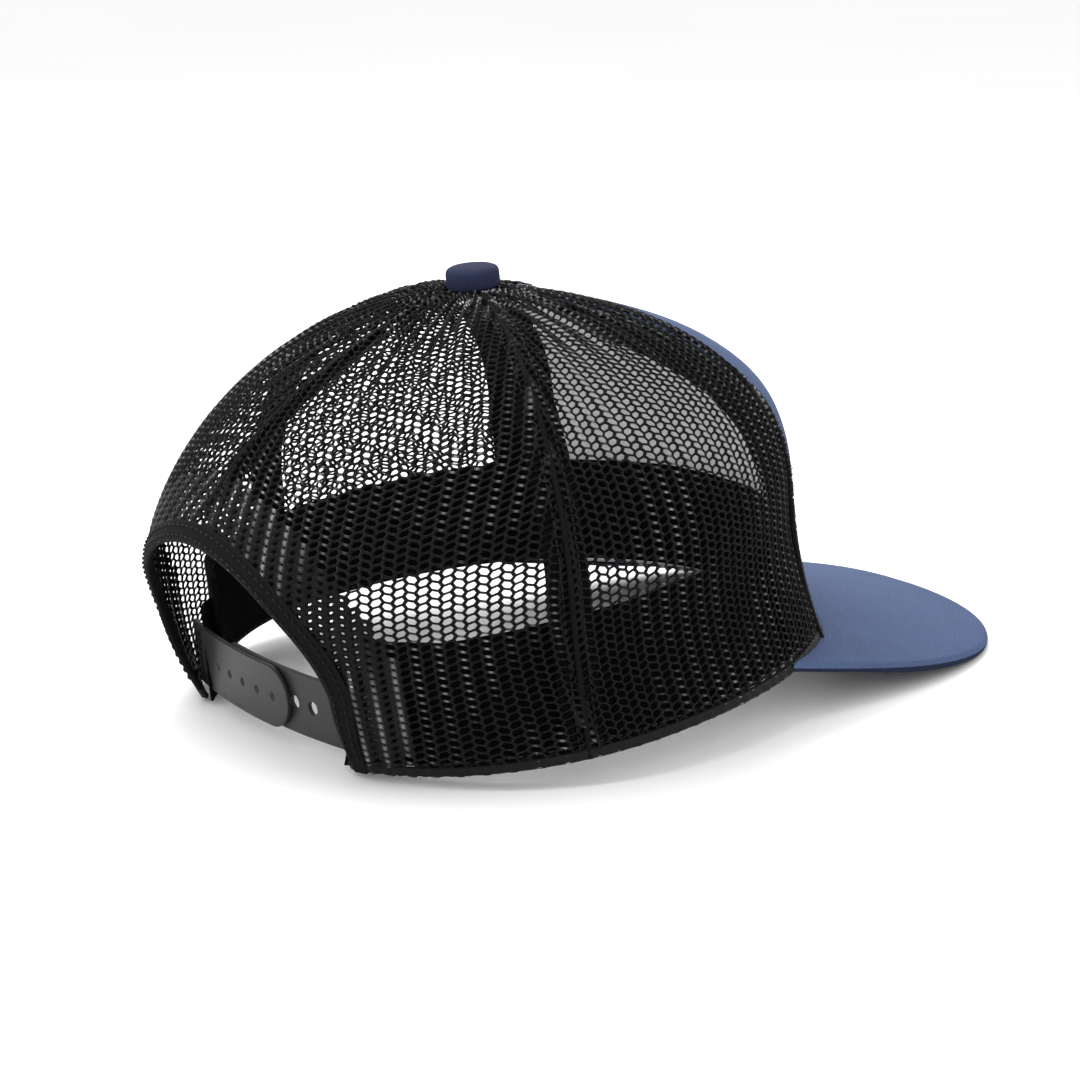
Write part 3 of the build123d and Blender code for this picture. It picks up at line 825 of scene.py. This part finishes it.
binding_l = 2 * ARCH_MID_Z + pi * (ARCH_HALF_W + ARCH_RISE) / 2
binding = cloth_slab("arch_binding_tape", binding_surface, (binding_l, 2 * BINDING_W), 0.0005, (100, 22),
                     tape_black)
dress(binding, ["arch_binding"])
runs = []
for grow in (0.0012, 0.0038):
    angles, climbs = arch_edge(np.linspace(0.02, 0.98, 300), grow)
    runs += stitch_runs(*crown_path(angles, climbs, -0.0006), 0.0028)
sew("arch_stitches", runs)


# ---- sweatband standing inside the rim
def band_points(angle, height, depth):
    bx, by = belly(angle)
    reach = np.hypot(bx, by)
    narrowing = around(angle, **RIM_NARROWING)
    lean = np.where(narrowing < 0, (1 - height / BELLY_Z) ** 2, 1)
    factor = 1 - narrowing * lean - depth / reach
    return tilt(np.stack([bx * factor, BUTTON_Y + by * factor, rim_height(angle) + height], -1))


BAND_FOOT = 0.0004
BEAD_H = 0.0005  # rolled upper edge of the band
FOOT_BEAD_H = 0.0004
LINER_GAP = 0.0011  # how far the liner stands outside the band
LINER_MARGIN = 0.002  # left free above and below the liner
LINER_T = 0.0006


def band_strip(end, low, high, depth, ripple):
    def surface(s, t, below):
        angle = end * (2 * s - 1)
        swell = ripple * (np.sin(31 * angle) * 0.5 + np.sin(13 * angle + 2) * 0.5) * t
        bead = BEAD_H * np.exp(-((t - 0.93) / 0.05) ** 2) + FOOT_BEAD_H * np.exp(-((t - 0.06) / 0.05) ** 2)
        side = np.where(below > BAND_T / 2, 1.0, -0.4)
        return band_points(angle, low + (high - low) * t, depth + below + swell + bead * side)
    return surface


def band_length(end, height, depth):
    return float(step_lengths(band_points(np.linspace(-end, end, 200), height, depth)).sum())


band_l = band_length(BAND_END, BAND_H / 2, BAND_INSET)
band = cloth_slab("sweatband_strip", band_strip(BAND_END, BAND_FOOT, BAND_H, BAND_INSET, 0.0005),
                  (band_l, BAND_H), BAND_T, (220, 26), band_black)
dress(band, ["sweatband"])
liner_end = FRONT_SEAM - radians(3)
liner_inset = BAND_INSET - LINER_GAP
liner_l = band_length(liner_end, BAND_H / 2, liner_inset)
liner_h = BAND_H - 2 * LINER_MARGIN
liner_surface = band_strip(liner_end, LINER_MARGIN, BAND_H - LINER_MARGIN, liner_inset, 0.0)
liner = cloth_slab("sweatband_backing", liner_surface, (liner_l, liner_h), LINER_T, (60, 12), foam_white)
dress(liner, ["sweatband_liner"])

runs = []
for height in (0.0022, BAND_H - 0.0034):
    angles = np.linspace(-BAND_END + 0.02, BAND_END - 0.02, 500)
    line = band_points(angles, height + 0 * angles, BAND_INSET + BAND_T + 0.0002)
    inwards = band_points(angles, height + 0 * angles, BAND_INSET + BAND_T + 0.0012) - line
    runs += stitch_runs(line, unit(inwards), 0.0032)
sew("sweatband_stitches", runs)


# ---- the band's rear corners, folded outwards round the foot of the back opening
TAB_FOOT = 0.0005
TAB_H = 0.030
TAB_W = 0.010
TAB_POINT = 0.0065  # how far its lower corner sticks out
TAB_START = 0.05  # radians before the band's end
REAR_REACH = 0.085


def corner_tab(name, sign):
    def surface(s, t, below):
        height = TAB_FOOT + TAB_H * t
        reach_out = (1 - t) ** 1.6 * TAB_POINT
        angle = sign * (BAND_END - TAB_START + (TAB_START + reach_out / REAR_REACH) * s)
        lift = BAND_INSET - 0.0008 - 0.0052 * s * (1 - 0.4 * t)
        return band_points(angle, height, lift + below)
    tab = cloth_slab(name, surface, (TAB_W, TAB_H), 0.0012, (9, 20), band_black)
    return dress(tab)


corner_tab("band_corner_right", 1)
corner_tab("band_corner_left", -1)


# ---- visor: a board inside two cloths that meet along the edge
def rim_front_y(x):
    angles = np.linspace(radians(-88), radians(88), 400)
    p = bare(angles, 0.0)
    order = np.argsort(p[:, 0])
    return np.interp(x, p[order, 0], p[order, 1])


def visor_top(x, y):
    return VISOR_ROOT_Z - VISOR_SLOPE * (VISOR_ROOT_Y - y) - VISOR_CURVE * (x / VISOR_HALF_W) ** 2


def visor_points(s, t, drop):
    """s runs across from side to side, t from the crown's rim to the outer edge."""
    turn = (s - 0.5) * pi
    x = VISOR_HALF_W * signed_power(np.sin(turn), 2 / VISOR_SQUARENESS)
    tip = VISOR_ROOT_Y - VISOR_REACH * np.abs(np.cos(turn)) ** (2 / VISOR_SQUARENESS)
    root = rim_front_y(x) + 0.0006
    y = root + (np.minimum(tip, root - 0.0008) - root) * t
    return tilt(np.stack([x, y, visor_top(x, y) - drop], -1)), np.stack([x, y], -1)


def visor_cloth(name, nodes, material, on_top):
    turns = np.linspace(0, pi, 90)
    s = 0.5 - 0.5 * np.cos(turns)
    t = np.concatenate([np.linspace(0, 0.97, 46), 1 - 0.03 * (1 - np.linspace(0.1, 1, 9)) ** 2])
    s, t = np.meshgrid(s, t)
    here, flat = visor_points(s, t, 0.0)
    tip, _ = visor_points(s, np.ones_like(t), 0.0)
    side = VISOR_HALF_W - np.abs(flat[..., 0])
    half = VISOR_T / 2
    edge = np.minimum(np.linalg.norm(here - tip, axis=-1), np.maximum(side, 0))
    edge = np.minimum(edge / half, 1)
    curl = half * (1 - np.sqrt(1 - (1 - edge) ** 2))
    if on_top:
        outer_drop = curl
        inner_drop = np.minimum(outer_drop + VISOR_CLOTH_T, half)
    else:
        outer_drop = VISOR_T - curl
        inner_drop = np.maximum(outer_drop - VISOR_CLOTH_T, half)
    for grid in (outer_drop, inner_drop):
        grid[-1, :] = half
        grid[:, [0, -1]] = half
    inner_drop[0] = outer_drop[0]
    drops = (outer_drop, inner_drop) if on_top else (inner_drop, outer_drop)
    upper, lower = (visor_points(s, t, drop)[0] for drop in drops)
    cloth = closed_sheet(name, upper, lower, flat, material)
    dress(cloth, nodes)


visor_cloth("visor_top_cloth", ["visor_top_cover"], twill_blue, True)
# the under cloth carries painted shade: the blue twill darkened for the shade beneath the visor
visor_cloth("visor_under_cloth", ["visor_under_cover"], twill_blue_painted_shade, False)


# ---- button
BUTTON_R = 0.0082
BUTTON_H = 0.0056
BUTTON_DOME = 0.0004


def button_cloth():
    base = tilt(np.array([0.0, BUTTON_Y, CROWN_H + 0.0001]))
    up = np.array([0.0, sin(PITCH), cos(PITCH)])
    ahead = np.array([0.0, cos(PITCH), -sin(PITCH)])
    # shares of the radius, and of the height below the crown of the button
    rings = [(0.0002, 0.0), (0.35, 0.0), (0.62, -0.02), (0.82, -0.06), (0.93, -0.13), (0.985, -0.24),
             (1.0, -0.38), (1.0, -0.60), (0.995, -0.84), (0.98, -1.02), (0.94, -1.13), (0.86, -1.17),
             (0.80, -1.13)]
    sides = 72
    turn = np.arange(sides) * 2 * pi / sides
    points, uvs = [], []
    for share, drop in rings:
        crimp = 1 + 0.018 * np.cos(18 * turn) * np.clip(-drop - 0.45, 0, 0.5) * 2
        r = BUTTON_R * share * crimp
        lift = BUTTON_H * (1 + drop) + BUTTON_DOME * np.cos(share * 1.4)
        x, y = r * np.cos(turn), r * np.sin(turn)
        points.append(base + np.outer(x, [1, 0, 0]) + np.outer(y, ahead) + up * lift)
        uvs.append(np.stack([x * (1 - 0.6 * drop), y * (1 - 0.6 * drop)], -1))
    faces = [face[::-1] for face in tube_faces(len(rings), sides)]
    piece = new_mesh("button_cloth", np.concatenate(points), faces, np.concatenate(uvs), button_twill)
    dress(piece, ["button_cover"])


button_cloth()


# ---- woven label inside the top of the front panel
LABEL_W = 0.046
LABEL_WIDE_AT = 1.35
LABEL_CLIMBS = (1.56, 1.66)
STRIPE_CLIMBS = (1.585, 1.635)
STRIPE_SHARE = 0.75  # of the label's width
label_half = LABEL_W / 2 / reach_at(0.0, LABEL_WIDE_AT)
label_edges = meridian(-label_half), meridian(label_half)
label_depth = lining_depth + LINING_T + 0.0002
label_size = strip_size(*label_edges, *LABEL_CLIMBS)
label_surface = crown_strip(*label_edges, *LABEL_CLIMBS, label_depth, 0.0001)
label = cloth_slab("size_label", label_surface, label_size[:2], 0.0005, (24, 14), label_black)
dress(label, ["inner_label"])
stripe_edges = meridian(-label_half * STRIPE_SHARE), meridian(label_half * STRIPE_SHARE)
stripe = cloth_slab("label_stripe", crown_strip(*stripe_edges, *STRIPE_CLIMBS, label_depth + 0.0005, 0.0),
                    (label_size[0] * STRIPE_SHARE, label_size[1] * 0.45), 0.0003, (20, 8), label_orange)
dress(stripe)


# ---- snap straps: moulded strips bent round the back, continuous across their bend
def strap_frame(x, height, out):
    """Point of a strap at x along its outer face, height above its foot and distance inwards."""
    turn = np.arctan2(x, STRAP_R)
    centre_y = STRAP_BACK_Y - STRAP_R
    return tilt(np.stack([out * np.sin(turn), centre_y + out * np.cos(turn), STRAP_FOOT_Z + height], -1))


def strap_outline(x_root, x_tip):
    """Closed outline with a rounded free end, as x and height pairs."""
    sign = 1 if x_tip > x_root else -1
    radius = STRAP_H / 2
    turns = np.linspace(-pi / 2, pi / 2, 25)
    tip = [(x_tip - sign * radius + sign * radius * np.cos(a), radius + radius * np.sin(a)) for a in turns]
    return [(x_root, 0.0), *tip, (x_root, STRAP_H)]


def flat_strap(name, outline, holes, hole_r, bevel):
    """Flat moulded strip with round holes and softened edges, before it is bent."""
    curve = bpy.data.curves.new(name, "CURVE")
    curve.dimensions = "2D"
    curve.fill_mode = "BOTH"
    curve.extrude = STRAP_T / 2 - bevel
    curve.bevel_depth = bevel
    curve.bevel_resolution = 2
    curve.offset = -bevel
    circles = [[(x + hole_r * np.cos(a), STRAP_H / 2 + hole_r * np.sin(a))
                for a in np.linspace(0, 2 * pi, 24, endpoint=False)] for x in holes]
    for ring in [outline, *circles]:
        spline = curve.splines.new("POLY")
        spline.points.add(len(ring) - 1)
        for point, (x, z) in zip(spline.points, ring):
            point.co = (x, z, 0, 1)
        spline.use_cyclic_u = True
    flat = add_object(name, curve)
    bpy.context.view_layer.update()
    mesh = bpy.data.meshes.new_from_object(flat.evaluated_get(bpy.context.evaluated_depsgraph_get()))
    bpy.data.objects.remove(flat)
    return mesh


def strap(body, x_root, x_tip, radius_out, holes, hole_r):
    name = f"{body}_strip"
    mesh = flat_strap(name, strap_outline(x_root, x_tip), holes, hole_r, STRAP_BEVEL)
    bm = bmesh.new()
    bm.from_mesh(mesh)
    bmesh.ops.remove_doubles(bm, verts=bm.verts, dist=1e-6)
    low, high = min(x_root, x_tip), max(x_root, x_tip)
    cuts = [((x, 0, 0), (1, 0, 0)) for x in np.arange(low + 0.0012, high, 0.0015)]
    cuts += [((0, z, 0), (0, 1, 0)) for z in (0.0012, STRAP_H - 0.0012)]
    for place, normal in cuts:
        geometry = bm.verts[:] + bm.edges[:] + bm.faces[:]
        bmesh.ops.bisect_plane(bm, geom=geometry, plane_co=place, plane_no=normal)
    co = np.array([v.co for v in bm.verts])
    border = np.minimum(co[:, 1], STRAP_H - co[:, 1]) < 0.0011
    raised = co[:, 2] + np.where(border & (co[:, 2] > 0), 0.00018, 0.0)
    placed = strap_frame(co[:, 0], co[:, 1], radius_out - STRAP_T / 2 + raised)
    for vert, point in zip(bm.verts, placed):
        vert.co = point
    bmesh.ops.recalc_face_normals(bm, faces=bm.faces)
    bm.to_mesh(mesh)
    bm.free()
    mesh.name = name
    mesh.materials.clear()
    mesh.materials.append(plastic_dark)
    mesh.shade_smooth()
    mesh.set_sharp_from_angle(angle=radians(38))
    piece = dress(add_object(name, mesh), [body, f"{body}_root"], None)
    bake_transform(piece)


STRAP_BEVEL = 0.00028
HOLE_STRAP_OUT = STRAP_R - STRAP_T - STRAP_GAP
HOLE_R = 0.0021
DIMPLE_R = 0.00125
strap("peg_strap", STRAP_ROOT_X, PEG_TIP_X, STRAP_R, PEG_XS, DIMPLE_R)
strap("hole_strap", -STRAP_ROOT_X, HOLE_TIP_X, HOLE_STRAP_OUT, HOLE_XS, HOLE_R)


def pegs():
    """Moulded pegs behind the outer strap, each with a dished root and a mushroom head."""
    profile = [(0.0, -0.0007), (0.0007, -0.00068), (0.00105, -0.0005), (0.0013, -0.00015),
               (0.00135, -0.0006), (0.00135, -0.0013), (0.0013, -0.0016), (0.00125, -0.0028),
               (0.00165, -0.0033), (0.0017, -0.0038), (0.0013, -0.0044), (0.0006, -0.0047), (0.0, -0.0048)]
    sides, points, faces = 20, [], []
    turn = np.arange(sides) * 2 * pi / sides
    for x in PEG_XS:
        faces += tube_faces(len(profile), sides, sum(map(len, points)))
        for radius, out in profile:
            r = max(radius, 1e-5)
            points.append(strap_frame(x + r * np.cos(turn), STRAP_H / 2 + r * np.sin(turn), STRAP_R + out))
    piece = new_mesh("strap_peg_row", np.concatenate(points), faces, None, plastic_dark)
    dress(piece, ["strap_pegs"], "peg_strap")


pegs()
SEWN_XS = (0.0468, 0.0508)
runs = []
for sign, out in ((1, STRAP_R), (-1, HOLE_STRAP_OUT)):
    for x in SEWN_XS:
        heights = np.linspace(0.001, STRAP_H - 0.001, 60)
        line = strap_frame(np.full(60, sign * x), heights, out + 0.0001)
        away = strap_frame(np.full(60, sign * x), heights, out + 0.0011) - line
        runs += stitch_runs(line, away / 0.001, 0.0026)
sew("strap_stitches", runs)

# ---- hard CAD pieces that show or lie inside keep their shape and get their material
for node, material in (("visor_board", board_white), ("button_shell", steel), ("button_washer", steel)):
    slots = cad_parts[node].data.materials
    slots.clear()
    slots.append(material)


# ---- floor, light and camera
paint = Paint("floor_paint", 0.6)
grain = paint.noise(3.0, 2.0)
white = paint.shades(grain, (1.0, 1.0, 1.0), (0.3, 0.7), (0.93, 0.95))
corners = [(-9, -9, 0), (9, -9, 0), (9, 9, 0), (-9, 9, 0)]
floor = new_mesh("floor", corners, [(0, 1, 2, 3)], None, paint.finish(white, grain, 0.02, 0.0005))

world = bpy.data.worlds.new("studio")
world.use_nodes = True
background = world.node_tree.nodes["Background"].inputs
background["Color"].default_value = (1.0, 1.0, 1.0, 1)
background["Strength"].default_value = 1.0
bpy.context.scene.world = world


TARGET = Vector((0.0, 0.0383, 0.059))


def soft_light(name, location, size, power):
    data = bpy.data.lights.new(name, "AREA")
    data.shape = "DISK"
    data.size = size
    data.energy = power
    light = add_object(name, data)
    light.location = location
    light.rotation_euler = (TARGET - Vector(location)).to_track_quat("-Z", "Y").to_euler()


soft_light("key", (0.35, 0.35, 1.3), 1.0, 12)
soft_light("fill", (-1.2, 0.9, 0.6), 1.0, 4)
soft_light("rim", (0.9, -0.9, 0.7), 0.8, 7)

AZIMUTH = radians(234.7)
ELEVATION = radians(13.97)
DISTANCE = 0.8726
ROLL = radians(-0.57)
back = Vector((sin(AZIMUTH) * cos(ELEVATION), -cos(AZIMUTH) * cos(ELEVATION), sin(ELEVATION)))
right = Vector((cos(AZIMUTH), sin(AZIMUTH), 0))
up = back.cross(right)
turned_right = right * cos(ROLL) + up * sin(ROLL)
turned_up = up * cos(ROLL) - right * sin(ROLL)
optics = bpy.data.cameras.new("camera")
optics.sensor_width = 36.0
optics.lens = 93.98
optics.shift_x = 0.0554
optics.shift_y = -0.0290
optics.clip_start = 0.01
camera = add_object("camera", optics)
rotation = Matrix((turned_right, turned_up, back)).transposed()
camera.matrix_world = Matrix.Translation(TARGET + back * DISTANCE) @ rotation.to_4x4()
bpy.context.scene.camera = camera
bpy.context.scene.view_settings.view_transform = "Standard"
